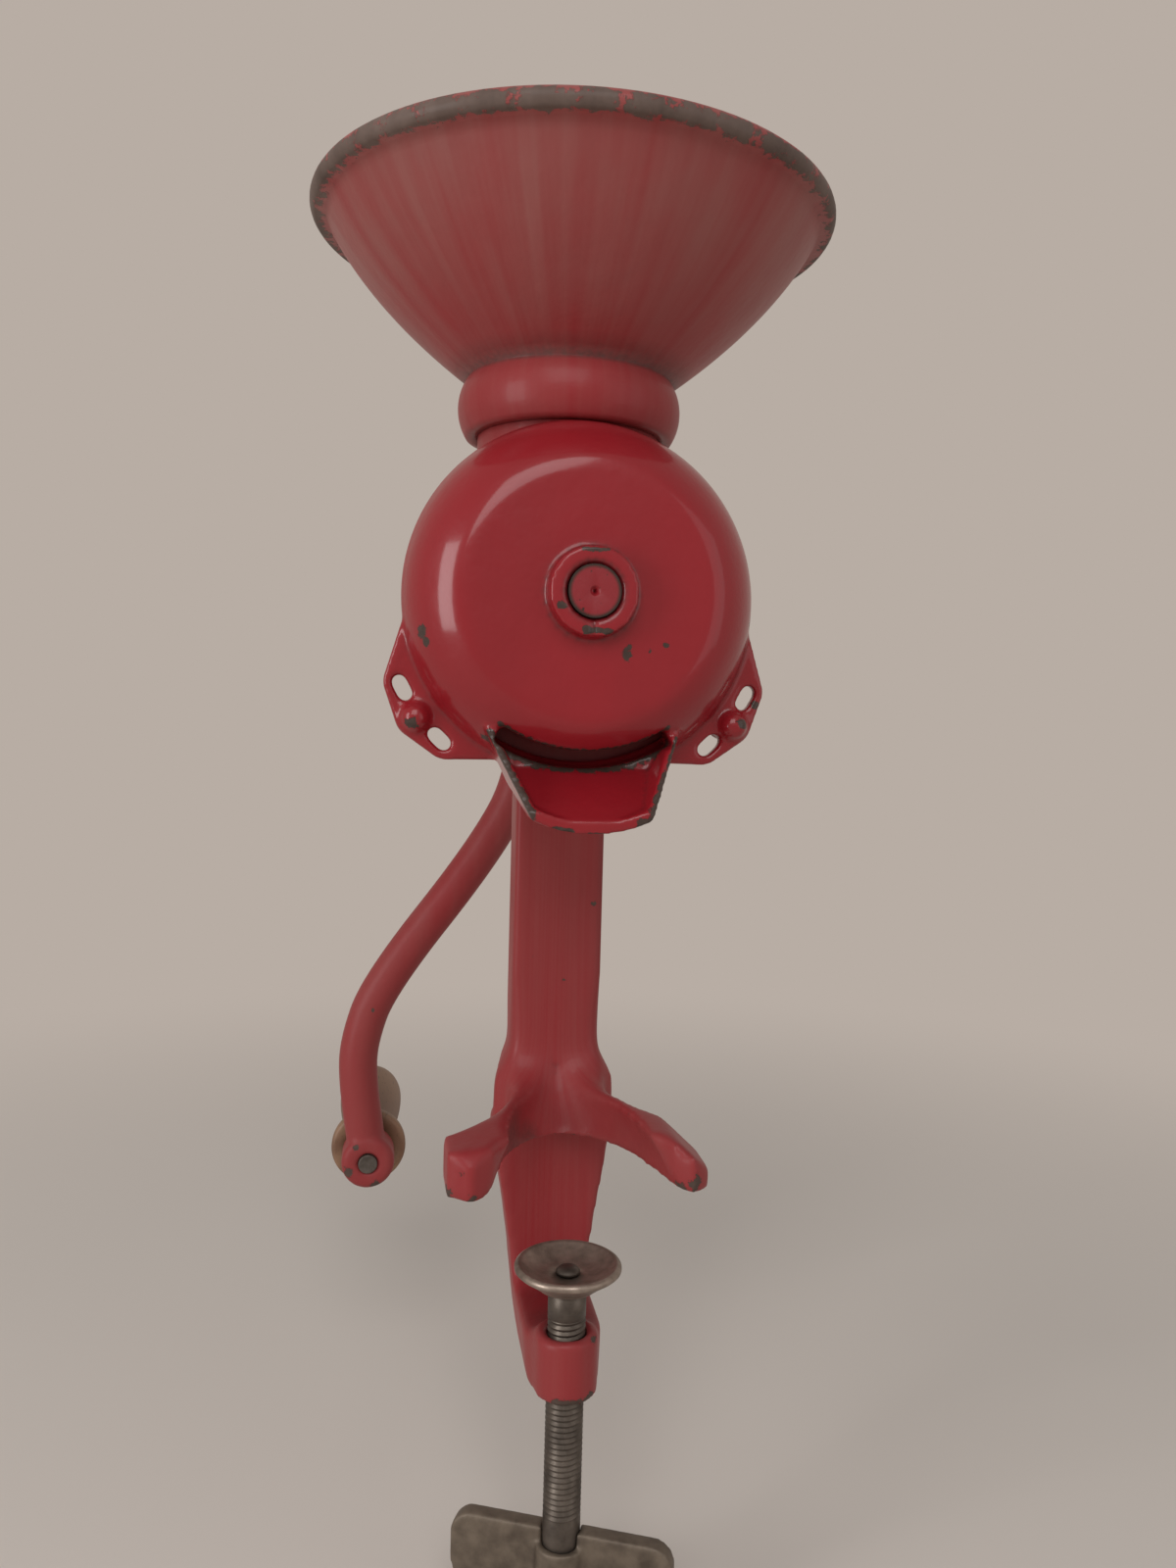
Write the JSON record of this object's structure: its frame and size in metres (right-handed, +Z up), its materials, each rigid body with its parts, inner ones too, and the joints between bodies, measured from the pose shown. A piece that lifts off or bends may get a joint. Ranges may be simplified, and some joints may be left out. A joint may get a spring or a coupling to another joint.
{
  "type": "hand grain mill",
  "caption": "Clamp-on hand grain mill: red cast-iron body with hopper, round burr cover with spout, forked table clamp, and an S-bent crank with a wooden grip.",
  "frame": {"origin": "clamp screw axis where it meets the underside of the jaw, the face that rests on the table top", "axes": "+Z up along the clamp screw, -Y out of the front cover along the shaft, +X to the right of a viewer facing the cover"},
  "size_m": [0.1438, 0.2373, 0.3726],
  "materials": {
    "red_paint": "gloss red enamel on cast iron, chipped at the edges",
    "burr_iron": "bare machined cast iron",
    "bare_steel": "dark bare steel, lightly tarnished",
    "turned_wood": "turned brown hardwood, worn varnish"
  },
  "bodies": {
    "mill": {"body_casting": "red_paint", "hopper": "red_paint", "front_cover": "red_paint", "stationary_burr": "burr_iron", "burr_screws": "bare_steel", "cover_screws": "bare_steel", "lock_nut": "bare_steel"},
    "shaft_carrier": {"thrust_washer": "bare_steel"},
    "adjuster": {"bearing_sleeve": "bare_steel"},
    "crank": {"drive_shaft": "bare_steel", "feed_worm": "burr_iron", "rotating_burr": "burr_iron", "burr_key": "bare_steel", "crank_arm": "red_paint", "crank_washer": "bare_steel", "crank_nut": "bare_steel", "grip_spindle": "bare_steel", "grip_washer": "bare_steel"},
    "grip": {"wooden_grip": "turned_wood"},
    "clamp_pad": {"pressure_pad": "bare_steel"},
    "clamp_screw": {"clamp_screw": "bare_steel", "clamp_wing": "bare_steel", "wing_pin": "bare_steel"}
  },
  "joints": [
    {"name": "grind_set", "type": "slide", "parent": "mill", "child": "shaft_carrier", "axis": [0, -1, 0], "range_m": [0, 0.0014]},
    {"name": "adjuster_turn", "type": "hinge", "parent": "shaft_carrier", "child": "adjuster", "pos_m": [0, 0.08, 0.145], "axis": [0, -1, 0], "range_deg": [0, 350]},
    {"name": "crank_turn", "type": "hinge", "parent": "shaft_carrier", "child": "crank", "pos_m": [0, 0.08, 0.145], "axis": [0, -1, 0], "continuous": true},
    {"name": "grip_spin", "type": "hinge", "parent": "crank", "child": "grip", "pos_m": [-0.053, 0.16, -0.042], "axis": [0, -1, 0], "continuous": true},
    {"name": "clamp_travel", "type": "slide", "parent": "mill", "child": "clamp_pad", "axis": [0, 0, 1], "range_m": [-0.01, 0.026]},
    {"name": "clamp_turn", "type": "hinge", "parent": "clamp_pad", "child": "clamp_screw", "pos_m": [0, 0, -0.06], "axis": [0, 0, 1], "range_deg": [-2399, 6239]}
  ],
  "couplings": [
    {"joint": "adjuster_turn", "follows": "grind_set", "rad_per_m": 4188.7},
    {"joint": "clamp_travel", "follows": "clamp_turn", "m_per_rad": 0.00023873}
  ]
}
